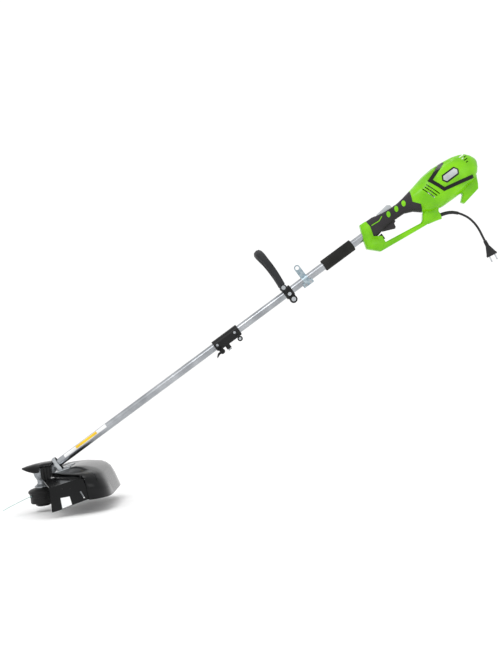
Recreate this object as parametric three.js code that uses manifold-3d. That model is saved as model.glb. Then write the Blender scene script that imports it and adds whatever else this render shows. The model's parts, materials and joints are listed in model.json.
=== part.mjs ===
// Corded string trimmer with a split shaft, built as separate named pieces.
// Millimetres. +Z runs up along the line head's spin axis, +X points rearwards to the motor, Y goes across.
// The origin is the centre of the harness eye's hole.
import * as THREE from 'three';
import { mergeVertices } from 'three/addons/utils/BufferGeometryUtils.js';
import Module from 'manifold-3d';

const wasm = await Module();
wasm.setup();

// ---------- driving dimensions ----------
const gap = 0.3;                  // clearance between pieces that touch
const shaftTilt = 30;             // degrees from the head's plane up to the shaft
const tubeRadius = 13;
const tubeWall = 1.5;
const lowerTubeEnd = 764;         // stations along the shaft, from where it crosses the spin axis
const tubeJointGap = 2;
const upperTubeLength = 618;
const upperTubeEnd = lowerTubeEnd + tubeJointGap + upperTubeLength;
const coupler = { start: lowerTubeEnd - 49, end: lowerTubeEnd + 49, radius: 18.5, lug: 9, lugDrop: 27 };
const clamp = { at: lowerTubeEnd + 253, width: 30, radius: 19, pivotRise: 21, earDrop: 29 };
const handle = { rise: 163, halfSpan: 60, width: 22.5, depth: 15 };
const eye = { at: lowerTubeEnd + 324, rise: 46.6, hole: 6.5, width: 20.5, plate: 2.5 };
const foam = { start: lowerTubeEnd + 398, end: lowerTubeEnd + 516, radius: 19.5 };
const rod = 4;                    // drive shaft radius
const head = { rim: 46.5, body: 41, top: -37, bottom: -87, knob: 26, travel: 8 };
const spindle = 5;
const neck = 12.5;
const gear = { teeth: 19, pinionTeeth: 14, angle: 35, pinionAngle: 25, cone: 26.9, face: 9, depth: 1.4 };
const guard = { rear: 245, side: 208, inner: 62, wall: 3, skirt: -71.5, frontSkirt: -97 };
const housingWall = 2.6;
const strapThickness = 2.5;
const trimWidth = 11.5;
const skin = 2;                   // thickness of the rubber grips and the trim
const seatedTubeEnd = 1384;       // where the upper tube ends in the motor unit's own stations
const motor = { start: 1590, end: 1660, radius: 34 };
const lineLength = 115;           // cutting line beyond its eyelet
const lineRadius = 1;
const cordRadius = 3.75;
const plug = { face: 54.5, pinSpacing: 19, pinReach: 19, pinRadius: 2.4 };

// ---------- materials ----------
const finish = (color, roughness, metalness = 0) =>
  new THREE.MeshStandardMaterial({ color, roughness, metalness });
const green = finish(0x8fd60a, 0.4);
const blackGloss = finish(0x1d1e20, 0.25);
const blackPlastic = finish(0x242526, 0.5);
const rubber = finish(0x37363a, 0.75);
const foamRubber = finish(0x2d2d2b, 0.9);
const aluminium = finish(0xc9cbcd, 0.35, 0.9);
const castMetal = finish(0xb9bcc0, 0.45, 0.85);
const steel = finish(0xd0d4d8, 0.3, 0.95);
const zinc = finish(0xb7c3c8, 0.35, 0.9);
const copper = finish(0xb06a3a, 0.4, 0.8);
const greyLever = finish(0xb5b8ba, 0.4);
const nylon = finish(0xb9d2cd, 0.4);

// ---------- solids ----------
const deg = Math.PI / 180;

function solid(geometry) {
  const bare = geometry.clone();
  bare.deleteAttribute('normal');
  bare.deleteAttribute('uv');
  const merged = mergeVertices(bare, 1e-3);
  const index = merged.index.array;
  const triangles = [];
  for (let i = 0; i < index.length; i += 3) {
    const [a, b, c] = [index[i], index[i + 1], index[i + 2]];
    if (a !== b && b !== c && a !== c) triangles.push(a, b, c);
  }
  const p = merged.attributes.position.array;
  let volume = 0;
  for (let i = 0; i < triangles.length; i += 3) {
    const [a, b, c] = [triangles[i] * 3, triangles[i + 1] * 3, triangles[i + 2] * 3];
    volume += p[a] * (p[b + 1] * p[c + 2] - p[b + 2] * p[c + 1]);
    volume += p[a + 1] * (p[b + 2] * p[c] - p[b] * p[c + 2]);
    volume += p[a + 2] * (p[b] * p[c + 1] - p[b + 1] * p[c]);
  }
  if (volume < 0) triangles.reverse();
  const mesh = new wasm.Mesh({ numProp: 3, vertProperties: p, triVerts: Uint32Array.from(triangles) });
  return new wasm.Manifold(mesh);
}

const join = (...solids) => solids.reduce((all, next) => all.add(next));
const cut = (body, ...tools) => tools.reduce((left, tool) => left.subtract(tool), body);

function geometryOf(body) {
  const mesh = body.getMesh();
  const geometry = new THREE.BufferGeometry();
  geometry.setAttribute('position', new THREE.BufferAttribute(mesh.vertProperties, 3));
  geometry.setIndex(new THREE.BufferAttribute(mesh.triVerts, 1));
  geometry.computeVertexNormals();
  return geometry;
}

function place(parent, name, body, material) {
  const mesh = new THREE.Mesh(geometryOf(body), material);
  mesh.name = name;
  parent.add(mesh);
}

// a profile of [radius, height] pairs turned about an axis
function turned(profile, axis = 'z', sides = 18) {
  const closed = profile[0][0] > 0 ? [...profile, profile[0]] : profile;
  const geometry = new THREE.LatheGeometry(closed.map(([r, h]) => new THREE.Vector2(r, h)), sides);
  if (axis === 'z') geometry.rotateX(90 * deg);
  if (axis === 'x') geometry.rotateZ(-90 * deg);
  return solid(geometry);
}

const bar = (radius, from, to, axis, sides) =>
  turned([[0, from], [radius, from], [radius, to], [0, to]], axis, sides);
const ring = (inner, outer, from, to, axis, sides) =>
  turned([[inner, from], [outer, from], [outer, to], [inner, to]], axis, sides);
// a rod across the object, centred at [x, z]
const pin = (radius, from, to, [x, z], sides = 12) =>
  bar(radius, from, to, 'y', sides).translate([x, 0, z]);

function block([x0, y0, z0], [x1, y1, z1]) {
  const geometry = new THREE.BoxGeometry(x1 - x0, y1 - y0, z1 - z0);
  geometry.translate((x0 + x1) / 2, (y0 + y1) / 2, (z0 + z1) / 2);
  return solid(geometry);
}

// an outline in the X-Z plane given thickness along Y
function slab(points, yFrom, yTo, bevel = 0) {
  const shape = new THREE.Shape(points.map(([x, z]) => new THREE.Vector2(x, z)));
  const geometry = new THREE.ExtrudeGeometry(shape, {
    depth: yTo - yFrom - 2 * bevel,
    bevelEnabled: bevel > 0,
    bevelThickness: bevel,
    bevelSize: bevel,
    bevelOffset: -bevel,
    bevelSegments: 1,
  });
  geometry.translate(0, 0, bevel);
  geometry.rotateX(90 * deg);
  geometry.translate(0, yTo, 0);
  return solid(geometry);
}

// closed body through rings of points that all have the same count
function loft(rings) {
  const count = rings[0].length;
  const points = rings.flat().map((p) => [p.x, p.y, p.z]);
  const index = [];
  for (let i = 0; i + 1 < rings.length; i += 1) {
    for (let j = 0; j < count; j += 1) {
      const [a, b] = [i * count + j, i * count + ((j + 1) % count)];
      index.push(a, b, b + count, a, b + count, a + count);
    }
  }
  for (const [row, first] of [[0, true], [rings.length - 1, false]]) {
    const centre = rings[row].reduce((sum, p) => sum.add(p), new THREE.Vector3()).divideScalar(count);
    points.push([centre.x, centre.y, centre.z]);
    for (let j = 0; j < count; j += 1) {
      const [a, b] = [row * count + j, row * count + ((j + 1) % count)];
      index.push(...(first ? [b, a] : [a, b]), points.length - 1);
    }
  }
  const geometry = new THREE.BufferGeometry();
  geometry.setAttribute('position', new THREE.Float32BufferAttribute(points.flat(), 3));
  geometry.setIndex(index);
  return solid(geometry);
}

// closed body between two grids of points, one on each side of a wall
function wallBetween(outer, inner) {
  const [rows, columns] = [outer.length, outer[0].length];
  const points = [...outer.flat(), ...inner.flat()].flatMap((p) => [p.x, p.y, p.z]);
  const last = columns - 1;
  const at = (side, i, j) => side * rows * columns + i * columns + j;
  const index = [];
  const quad = (a, b, c, d) => index.push(a, b, c, a, c, d);
  for (let i = 0; i + 1 < rows; i += 1) {
    for (let j = 0; j + 1 < columns; j += 1) {
      quad(at(0, i, j), at(0, i + 1, j), at(0, i + 1, j + 1), at(0, i, j + 1));
      quad(at(1, i, j), at(1, i, j + 1), at(1, i + 1, j + 1), at(1, i + 1, j));
    }
    quad(at(0, i, 0), at(1, i, 0), at(1, i + 1, 0), at(0, i + 1, 0));
    quad(at(0, i, last), at(0, i + 1, last), at(1, i + 1, last), at(1, i, last));
  }
  for (let j = 0; j + 1 < columns; j += 1) {
    quad(at(0, 0, j), at(0, 0, j + 1), at(1, 0, j + 1), at(1, 0, j));
    quad(at(0, rows - 1, j), at(1, rows - 1, j), at(1, rows - 1, j + 1), at(0, rows - 1, j + 1));
  }
  const geometry = new THREE.BufferGeometry();
  geometry.setAttribute('position', new THREE.Float32BufferAttribute(points, 3));
  geometry.setIndex(index);
  return solid(geometry);
}

// round tube along a curve
function tubeAlong(points, radius, sides, steps) {
  const section = new THREE.Shape();
  section.absarc(0, 0, radius, 0, 2 * Math.PI);
  const extrudePath = points instanceof THREE.Curve
    ? points
    : new THREE.CatmullRomCurve3(points, false, 'centripetal');
  const options = { steps, curveSegments: sides / 2, bevelEnabled: false, extrudePath };
  return solid(new THREE.ExtrudeGeometry(section, options));
}

// value at x on a smooth curve through [x, value] pairs
function along(pairs, x) {
  const last = pairs.length - 1;
  if (x <= pairs[0][0]) return pairs[0][1];
  if (x >= pairs[last][0]) return pairs[last][1];
  const slope = (i) => {
    const [a, b] = [pairs[Math.max(i - 1, 0)], pairs[Math.min(i + 1, last)]];
    return (b[1] - a[1]) / (b[0] - a[0]);
  };
  const i = pairs.findIndex((pair) => pair[0] > x) - 1;
  const width = pairs[i + 1][0] - pairs[i][0];
  const t = (x - pairs[i][0]) / width;
  return (2 * t ** 3 - 3 * t ** 2 + 1) * pairs[i][1] + (t ** 3 - 2 * t ** 2 + t) * width * slope(i)
    + (3 * t ** 2 - 2 * t ** 3) * pairs[i + 1][1] + (t ** 3 - t ** 2) * width * slope(i + 1);
}

// ---------- frame ----------
// The shaft group's X runs up the shaft and its Z stands square to it; the head group's Z is the spin axis.
const shaft = new THREE.Group();
const headGroup = new THREE.Group();
const eyeAlong = [Math.cos(shaftTilt * deg), Math.sin(shaftTilt * deg)];
const origin = new THREE.Vector3(
  -(eye.at * eyeAlong[0] - eye.rise * eyeAlong[1]), 0, -(eye.at * eyeAlong[1] + eye.rise * eyeAlong[0]));
shaft.position.copy(origin);
shaft.rotation.y = -shaftTilt * deg;
headGroup.position.copy(origin);
// The motor unit moves up the shaft as one with the upper tube's end.
const rearUnit = new THREE.Group();
rearUnit.position.x = upperTubeEnd - seatedTubeEnd;
shaft.add(rearUnit);
const onShaft = (body) => body.rotate([0, -shaftTilt, 0]);

// ---------- tubes, drive shafts, bushings ----------
const tubeBore = tubeRadius - tubeWall;
const tubeFit = tubeRadius + gap;
const tubeStart = 42;

function shaftTubes() {
  place(shaft, 'lower_tube', ring(tubeBore, tubeRadius, tubeStart, lowerTubeEnd, 'x'), aluminium);
  place(shaft, 'upper_tube', ring(tubeBore, tubeRadius, lowerTubeEnd + tubeJointGap, upperTubeEnd, 'x'),
    aluminium);
}

function driveShafts() {
  const socketStart = lowerTubeEnd - 28;
  const socketEnd = lowerTubeEnd + 12;
  const rotorJoint = motor.start - 66 + rearUnit.position.x;
  const bushingLength = 22;
  place(shaft, 'lower_drive_shaft', bar(rod, 14, lowerTubeEnd, 'x', 16), steel);
  const socket = cut(bar(7, socketStart, socketEnd + 8, 'x', 16),
    bar(rod + gap, socketStart - 1, socketEnd, 'x', 16));
  place(shaft, 'upper_drive_shaft', join(socket, bar(rod, socketEnd + 4, rotorJoint, 'x', 16)), steel);
  for (const [side, at] of [['lower', lowerTubeEnd / 2 - 2], ['upper', lowerTubeEnd + 416]]) {
    const bushing = ring(rod + gap, tubeBore - gap, at, at + bushingLength, 'x', 16);
    place(shaft, `${side}_shaft_bushing`, bushing, blackPlastic);
  }
}

// ---------- coupler ----------
function couplerPieces() {
  const { start, end, radius, lug, lugDrop } = coupler;
  const front = [start + 12, -lugDrop];
  const rear = [end - 14, -lugDrop - 1];
  const pinAt = start + 37;
  const slit = 1.5;
  const lugHalf = 13;
  const body = cut(
    join(bar(radius, start, end, 'x', 24),
      block([start + 4, -lugHalf, -radius - 2], [end - 2, lugHalf, -6]),
      pin(lug, -lugHalf, lugHalf, front), pin(lug, -lugHalf, lugHalf, rear),
      bar(8.5, -radius - 15, -tubeFit, 'z', 12).translate([pinAt, 0, 0])),
    bar(tubeFit, start - 1, end + 1, 'x', 20),
    block([start - 1, -slit, -60], [end + 1, slit, -5]),
    bar(4.4, -radius - 20, -5, 'z', 12).translate([pinAt, 0, 0]),
    pin(3.1, -30, 30, front), pin(3.1, -30, 30, rear));
  place(shaft, 'coupler_body', body, blackPlastic);
  place(shaft, 'coupler_bolt', join(pin(2.8, -lugHalf - 8, lugHalf + 6, rear, 12),
    pin(5, -lugHalf - 5, -lugHalf - gap, rear, 6), pin(5, lugHalf + gap, lugHalf + 5, rear, 6)), steel);
  const wing = slab([[2, 5], [-16, 3], [-24, -4], [-26, -9], [-20, -7], [-12, -4], [2, -6]], -lugHalf - 6,
    -lugHalf - gap - 1, 0.8).translate([front[0], 0, front[1]]);
  const hub = join(pin(7, -lugHalf - 7, -lugHalf - gap, front),
    pin(2.8, -lugHalf - 8, lugHalf + 6, front, 12), pin(6, lugHalf + gap, lugHalf + 5, front, 16));
  place(shaft, 'coupler_lever', join(hub, wing), blackPlastic);
  const button = join(bar(4, -radius - 18, -tubeFit - gap, 'z', 16),
    bar(6.5, -radius - 20, -radius - 16, 'z', 16));
  place(shaft, 'release_pin', button.translate([pinAt, 0, 0]), steel);
}

// ---------- loop handle and its clamp ----------
function handlePieces() {
  const { at, width, radius, pivotRise, earDrop } = clamp;
  const [x0, x1] = [at - width / 2, at + width / 2];
  const pivot = [at - 5, pivotRise];
  const ear = [at + 1, -earDrop];
  const bossHalf = 20;
  const earHalf = 9;
  const whole = cut(
    join(bar(radius, x0, x1, 'x', 20), pin(11, -bossHalf, bossHalf, pivot), pin(13, -earHalf, earHalf, ear),
      block([ear[0] - 12, -earHalf, -earDrop], [ear[0] + 12, earHalf, -8]),
      block([x0 + 6, -radius - 0.8, -3], [x1 - 1, radius + 0.8, 12])),
    bar(tubeFit, x0 - 1, x1 + 1, 'x', 20), pin(3.8, -40, 40, pivot), pin(3.4, -40, 40, ear));
  const half = (side) => whole.intersect(block([x0 - 20, side < 0 ? -60 : gap / 2, -60],
    [x1 + 20, side < 0 ? -gap / 2 : 60, 60]));
  place(shaft, 'handle_clamp_near', half(-1), blackPlastic);
  place(shaft, 'handle_clamp_far', half(1), blackPlastic);
  place(shaft, 'clamp_bolt', join(pin(3.1, -earHalf - 6, earHalf + 6, ear, 12),
    pin(7.5, -earHalf - 5, -earHalf - gap, ear, 16), pin(6, earHalf + gap, earHalf + 5, ear, 6)), steel);
  const legInner = bossHalf + gap;
  const legOuter = legInner + handle.depth - 2;
  place(shaft, 'pivot_bolt', join(pin(3.5, -legOuter - 3, legOuter + 3, pivot, 12),
    pin(7, -legOuter - 4, -legOuter - gap, pivot, 16), pin(7, legOuter + gap, legOuter + 5, pivot, 6)),
      steel);
  place(shaft, 'loop_handle', loopHandle(pivot, (legInner + legOuter) / 2, legOuter - legInner), rubber);
}

function loopHandle(pivot, legAt, legWidth) {
  const top = handle.rise - pivot[1];
  const span = handle.halfSpan;
  const halfPath = [[legAt, 8], [legAt, 16], [legAt + 6, 34], [span - 8, 70], [span, 100],
    [span - 6, top - 20], [span - 22, top - 5], [span / 3, top]];
  const rounds = [...halfPath.map(([y, z]) => [-y, z]), [0, top], ...halfPath.reverse()];
  const path = new THREE.CatmullRomCurve3(rounds.map(([y, z]) => new THREE.Vector3(0, y, z)), false,
    'centripetal');
  const steps = 22;
  const sides = 8;
  const rings = [];
  for (let i = 0; i <= steps; i += 1) {
    const centre = path.getPointAt(i / steps);
    const tangent = path.getTangentAt(i / steps);
    const inPlane = new THREE.Vector3(0, -tangent.z, tangent.y);
    const grow = 1 + 0.25 * THREE.MathUtils.smoothstep(centre.z, top - 45, top - 8);
    const bow = 5 * Math.sin((centre.z / top) * Math.PI);
    rings.push(Array.from({ length: sides }, (_, j) => {
      const angle = (j / sides) * 2 * Math.PI;
      return centre.clone().add(inPlane.clone().multiplyScalar((handle.depth / 2) * grow * Math.cos(angle)))
        .add(new THREE.Vector3(bow + (handle.width / 2) * grow * Math.sin(angle), 0, 0));
    }));
  }
  const eyes = [-1, 1].map((side) => pin(11.2, side * legAt - legWidth / 2, side * legAt + legWidth / 2,
    [0, 0], 20));
  const legCut = (side) => block([-20, side * (legAt - legWidth / 2) - (side < 0 ? 0 : 20), -20],
    [20, side * (legAt - legWidth / 2) + (side < 0 ? 20 : 0), 24]);
  return cut(join(cut(loft(rings), legCut(-1), legCut(1)), ...eyes), pin(3.8, -60, 60, [0, 0]))
    .translate([pivot[0], 0, pivot[1]]);
}

// ---------- harness eye ----------
function harnessEye() {
  const { at, rise, hole, width, plate } = eye;
  const [x0, x1] = [at - width / 2, at + width / 2];
  const outer = tubeFit + plate;
  const footDrop = 22;
  const flange = [x0 - 8, x1 + 8];
  const straps = join(bar(outer, x0, x1, 'x', 20), block([x0, -outer, -footDrop], [x1, outer, 0]),
    block([flange[0], -outer, -footDrop], [flange[1], outer, -9]));
  const bracket = cut(
    join(straps, block([x0, -plate, 8], [x1, plate, rise]), pin(width / 2, -plate, plate, [at, rise], 20)),
    bar(tubeFit, x0 - 9, x1 + 9, 'x', 20),
    block([x0 - 9, -tubeFit, -60], [x1 + 9, tubeFit, 0]),
    pin(hole, -20, 20, [at, rise], 20));
  place(shaft, 'harness_eye_bracket', bracket, zinc);
}

// ---------- gear head ----------
const gearboxSocketEnd = 56;
const gearboxTop = 29;

function gearboxHousing() {
  const shell = turned([[0, -34], [23.5, -34], [23.5, -31], [20, -29], [15, -25], [neck, -21], [neck, -13],
    [15, -8], [20, 0], [22, 10], [22, 22], [20, gearboxTop], [0, gearboxTop]], 'z', 24);
  const socket = onShaft(bar(17.5, 0, gearboxSocketEnd, 'x', 24));
  const cavity = turned([[0, 3], [16, 3], [18, 8], [18, gearboxTop + 1], [0, gearboxTop + 1]], 'z', 20);
  const seats = bar(11 + gap, -40, -23.5, 'z', 24);
  const bore = bar(spindle + gap + 0.2, -50, 30, 'z', 16);
  const shaftBore = onShaft(join(bar(13.8, 6, tubeStart - 1, 'x', 20),
    bar(tubeFit, tubeStart - 2, 80, 'x', 24)));
  place(headGroup, 'gearbox_housing', cut(join(shell, socket), cavity, seats, bore, shaftBore), castMetal);
  place(headGroup, 'gearbox_cap', bar(18 - gap, gearboxTop - 3, gearboxTop, 'z', 28), castMetal);
}

// toothed cone with its apex at the origin and its axis along Z
function bevelGear(teeth, angle, phase) {
  const { cone, face, depth } = gear;
  const ringAt = (distance, height, shift) => Array.from({ length: teeth * 4 }, (_, i) => {
    const turn = ((Math.floor(i / 4) + [0.06, 0.18, 0.52, 0.64][i % 4] + phase) / teeth) * 2 * Math.PI;
    const pitch = distance * Math.sin(angle * deg);
    const radius = pitch + shift + (i % 4 === 1 || i % 4 === 2 ? depth : -depth) * (distance / cone);
    return new THREE.Vector3(radius * Math.cos(turn), radius * Math.sin(turn), height);
  });
  const near = (cone - face) * Math.cos(angle * deg);
  const far = cone * Math.cos(angle * deg);
  return loft([ringAt(cone - face, near, 0), ringAt(cone, far, 0)]);
}

function gearTrain() {
  const { teeth, pinionTeeth, angle, pinionAngle } = gear;
  const backlash = 0.7;
  const output = cut(bevelGear(teeth, angle, -0.35).translate([0, 0, backlash]),
    bar(spindle + gap, 0, 40, 'z', 20));
  place(headGroup, 'output_bevel_gear', output, steel);
  const pinion = cut(bevelGear(pinionTeeth, pinionAngle, 0.15).translate([0, 0, backlash]),
    bar(rod + gap, 0, 40, 'z', 16));
  place(shaft, 'bevel_pinion', pinion.rotate([0, 90, 0]), steel);
  place(shaft, 'pinion_bearing', ring(rod + gap, 12.5, 29, 38, 'x', 24), steel);
  place(headGroup, 'spindle_bearing', ring(spindle + gap, 11, -33, -24, 'z', 24), steel);
  const disc = bar(18, -36.6, -34.6, 'z', 28);
  place(headGroup, 'output_spindle', join(bar(spindle, -62, 24.5, 'z', 20), disc), steel);
}

// ---------- line head ----------
const eyeletHeight = -60;
const lineTurn = 220;             // degrees round the spin axis, where the first line leaves the head

function lineHead() {
  const { rim, body, top, bottom, knob, travel } = head;
  const wall = 2.5;
  const split = -66;
  const spots = [0, 180].map((turn) => lineTurn + turn);
  const shellProfile = [[spindle + gap, top - 0.3], [30, top - 0.6], [40, top - 4], [rim - 0.5, top - 9],
    [rim, top - 13], [rim - 2.5, top - 17], [body + 1, top - 20], [body + 1, split],
    [body + 1 - wall, split], [body + 1 - wall, top - 14], [34, top - 5], [spindle + gap, top - 4]];
  const holes = spots.map((turn) =>
    bar(3.5, 30, 60, 'x', 8).rotate([0, 0, turn]).translate([0, 0, eyeletHeight]));
  place(headGroup, 'line_head_housing', cut(turned(shellProfile, 'z', 24), ...holes), blackPlastic);
  const capProfile = [[knob + gap, bottom], [body - 3, bottom], [body, bottom + 3], [body, split - gap],
    [body - wall, split - gap], [body - wall, bottom + wall], [knob + gap, bottom + wall]];
  place(headGroup, 'line_head_cap', turned(capProfile, 'z', 28), blackPlastic);
  const inside = bottom + wall + gap;
  const flangeTop = inside + 2.5;
  const knobProfile = [[0, bottom - 10], [knob - 7, bottom - 10], [knob, bottom - 6], [knob, inside],
    [knob + 3, inside], [knob + 3, flangeTop], [knob - 3, flangeTop], [knob - 3, bottom - 6],
    [0, bottom - 6]];
  place(headGroup, 'bump_knob', turned(knobProfile, 'z', 24), blackPlastic);
  const spoolFoot = flangeTop + travel + gap;
  const springSeat = spoolFoot + 10;
  const spoolTop = top - 8;
  const spoolProfile = [[spindle + gap, springSeat], [9.5, springSeat], [9.5, spoolFoot], [35, spoolFoot],
    [35, spoolFoot + 2], [18, spoolFoot + 2], [18, spoolTop - 2], [35, spoolTop - 2], [35, spoolTop],
    [spindle + gap, spoolTop]];
  place(headGroup, 'line_spool', turned(spoolProfile, 'z', 20), blackPlastic);
  const coil = { turns: 4, radius: 7.7, wire: 1, clear: 1.4, stepsPerTurn: 7 };
  const springFrom = bottom - 6 + coil.clear;
  const springTo = springSeat - coil.clear;
  const spring = new THREE.Curve();
  spring.getPoint = (t, target = new THREE.Vector3()) => {
    const turn = t * coil.turns * 2 * Math.PI;
    const height = springFrom + (springTo - springFrom) * t;
    return target.set(coil.radius * Math.cos(turn), coil.radius * Math.sin(turn), height);
  };
  const springBody = tubeAlong(spring, coil.wire, 6, coil.turns * coil.stepsPerTurn);
  place(headGroup, 'bump_spring', springBody, steel);
  spots.forEach((turn, i) => {
    const eyelet = ring(1.7, 3.1, body - 2, body + 2.8, 'x', 12).rotate([0, 0, turn]);
    place(headGroup, `line_eyelet_${i + 1}`, eyelet.translate([0, 0, eyeletHeight]), steel);
    place(headGroup, `cutting_line_${i + 1}`, cuttingLine().rotate([0, 0, turn]), nylon);
  });
}

// The line leaves its eyelet straight out and droops a little.
function cuttingLine() {
  const start = head.body - 1;
  const points = [[0, 0, 0], [12, 0, -1.5], [35, 1, -6.5], [60, 2.5, -12.5], [86, 4.5, -19], [110, 7, -26]];
  const vectors = points.map((p) => new THREE.Vector3(...p));
  const scale = lineLength / new THREE.CatmullRomCurve3(vectors, false, 'centripetal').getLength();
  const path = points.map(([x, y, z]) =>
    new THREE.Vector3(start + x * scale, y * scale, eyeletHeight + z * scale));
  return tubeAlong(path, lineRadius, 6, 14);
}

// ---------- guard ----------
const planform = (angle, rear, side) => {
  const power = 6;
  const [c, s] = [Math.abs(Math.cos(angle)) / rear, Math.abs(Math.sin(angle)) / side];
  return 1 / (c ** power + s ** power) ** (1 / power);
};

// points at `share` of the way from the spin axis to the rim, at `angle` round it
function guardGrid(angles, shares, heightAt, rear, side, offset) {
  const point = (angle, share) => {
    const radius = planform(angle, rear, side) * share;
    return new THREE.Vector3(radius * Math.cos(angle), radius * Math.sin(angle), heightAt(angle, share));
  };
  const step = 0.004;
  return angles.map((angle) => shares.map((share) => {
    const p = point(angle, share);
    if (offset === 0) return p;
    const across = point(angle + step, share).sub(point(angle - step, share));
    const outwards = point(angle, share + step).sub(point(angle, share - step));
    return p.addScaledVector(outwards.cross(across).normalize(), -offset);
  }));
}

const spread = (from, to, count) =>
  Array.from({ length: count + 1 }, (_, i) => from + ((to - from) * i) / count);

// the guard's height from the spin axis out to its rim, over the middle and along its two edges
const hump = [[0.2, 5], [0.3, 13], [0.38, 21], [0.5, 26], [0.62, 26], [0.76, 20.5], [0.85, 11],
  [0.92, -10], [0.975, -51], [1, guard.skirt]];
const nearEdge = [[0.2, 8], [0.28, 11.5], [0.5, 10.5], [0.8, 9], [0.9, 6], [0.945, -6], [0.975, -30],
  [1, guard.skirt + 1]];
const mainFrom = -48 * deg;
const mainTo = 76 * deg;

function mainHeight(angle, share) {
  const fromNear = THREE.MathUtils.smoothstep(angle, mainFrom, mainFrom + 26 * deg);
  const fromFar = THREE.MathUtils.smoothstep(mainTo - angle, 0, 26 * deg);
  const rise = Math.min(fromNear, fromFar);
  return along(hump, share) * rise + along(nearEdge, share) * (1 - rise);
}

function plateHeight(angle, share) {
  const back = THREE.MathUtils.smoothstep(angle, -73 * deg, -50 * deg);
  const rimTop = -18 + 14 * back;
  const rim = guard.frontSkirt + (guard.skirt + 6 - guard.frontSkirt) * THREE.MathUtils.smoothstep(angle,
    -76 * deg, -40 * deg);
  const corner = 0.965;
  if (share <= corner) return -4 + ((rimTop + 4) * share) / corner;
  return rimTop + (rim - rimTop) * ((share - corner) / (1 - corner));
}

function guardShell(angles, shares, heightAt, rear, side, extra = 0) {
  return wallBetween(guardGrid(angles, shares, heightAt, rear, side, -extra),
    guardGrid(angles, shares, heightAt, rear, side, guard.wall + extra));
}

const mainShares = [...spread(guard.inner / guard.rear, 0.8, 4), 0.86, 0.9, 0.945, 0.97, 1];
const mainAngles = spread(mainFrom, mainTo, 18);

// the guard's wall with clearance round it, for what meets it
function guardKeepOut() {
  const angles = spread(mainFrom - 0.6 * deg, mainTo, 18);
  return guardShell(angles, mainShares, mainHeight, guard.rear, guard.side, 2 * gap);
}

// The web closes the guard's front edge down to the extension.
function debrisGuard() {
  const main = guardShell(mainAngles, mainShares, mainHeight, guard.rear, guard.side);
  const reach = planform(mainFrom, guard.rear, guard.side);
  const web = { shares: [0.28, 0.4, 0.6, 0.8, 0.88], foot: -4 + 2 * gap, tuck: 1, front: 0.2 };
  const outline = [...web.shares.map((share) => [share * reach, along(nearEdge, share) - web.tuck]),
    [web.shares.at(-1) * reach, web.foot], [web.shares[0] * reach, web.foot]];
  const webWall = slab(outline, web.front, guard.wall).rotate([0, 0, mainFrom / deg]);
  place(headGroup, 'debris_guard', join(main, webWall), blackGloss);
}

function guardExtension() {
  const angles = spread(-73 * deg, -43 * deg, 8);
  const shares = [0.3, 0.5, 0.75, 0.94, 0.965, 0.985, 1];
  const face = 3.5 - guard.side;
  const plate = guardShell(angles, shares, plateHeight, guard.rear - 14, -face);
  const slot = slab([[153.5, -42], [158.5, -42], [169, -64], [164, -64]], face - 15.5, face + 12.5);
  place(headGroup, 'guard_extension', largest(cut(plate, guardKeepOut(), slot)), blackGloss);
  const blade = { outline: [[148, -34], [160, -34], [171, -62], [160, -62]], inset: 14, thickness: 1.5 };
  const bladeFace = face + blade.inset;
  place(headGroup, 'line_cutter_blade', slab(blade.outline, bladeFace, bladeFace + blade.thickness), steel);
}

function guardBlocks() {
  const outline = [[8, 24], [14, 31], [43, 31], [43, 0], [34, -12], [16, -12], [8, -4]];
  for (const [name, y0, y1, ribStart] of [['near', -39, -23, -42], ['far', 23, 39, 38]]) {
    const ribs = [14, 24, 34].map((x) => block([x, ribStart, -8], [x + 4, ribStart + 4, 29]));
    place(headGroup, `guard_block_${name}`, join(slab(outline, y0, y1, 1.5), ...ribs), blackPlastic);
  }
}

function guardStrap() {
  const layer = (offset) => guardGrid(mainAngles, mainShares, mainHeight, guard.rear, guard.side, offset);
  const footLayer = wallBetween(layer(-gap - strapThickness), layer(-2 * gap));
  const feet = [[-62, -17.5], [17.5, 62]].map(([y0, y1]) =>
    footLayer.intersect(block([60, y0, -20], [108, y1, 40])));
  place(headGroup, 'guard_strap', cut(join(strapArch(), ...feet), guardKeepOut()), steel);
}

// The visor is a thin hood from its pointed tip back to the shaft.
function visor() {
  const ridge = [[-58, 33.5], [-40, 38.5], [-14, 43], [10, 45.8], [45, 47.2]];
  const edge = [[-58, 31], [-36, 23], [-14, 16.5], [2, 17], [6, 34], [45, 35.5]];
  const half = [[-58, 7], [-46, 20], [-30, 30], [-10, 36], [10, 39], [45, 41]];
  const linear = (pairs, x) => {
    const i = Math.min(Math.max(pairs.findIndex((pair) => pair[0] >= x), 1), pairs.length - 1);
    return THREE.MathUtils.mapLinear(x, pairs[i - 1][0], pairs[i][0], pairs[i - 1][1], pairs[i][1]);
  };
  const stations = [-58, -50, -40, -30, -14, 2, 6, 20, 45];
  const arcs = spread(-90 * deg, 90 * deg, 10);
  const grid = (drop) => stations.map((x) => arcs.map((arc) => {
    const rise = Math.max(linear(ridge, x) - linear(edge, x), 1);
    const lift = Math.abs(Math.cos(arc)) ** 0.7;
    return new THREE.Vector3(x, (linear(half, x) - drop * 0.6 * Math.abs(Math.sin(arc))) * Math.sin(arc),
      linear(edge, x) + rise * lift - drop);
  }));
  return wallBetween(grid(0), grid(2.2));
}

// Bent steel strap over the tube, square to it; its feet lie on the guard at each side.
function strapArch() {
  const [x0, x1] = [63, 75];
  const inner = tubeFit + 4;
  const outer = inner + strapThickness;
  const crown = 4;
  return onShaft(cut(
    join(bar(outer, x0, x1, 'x', 20).translate([0, 0, crown]), block([x0, -outer, -24], [x1, outer,
      crown])),
    bar(inner, x0 - 1, x1 + 1, 'x', 20).translate([0, 0, crown]),
    block([x0 - 1, -inner, -60], [x1 + 1, inner, crown])));
}

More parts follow.
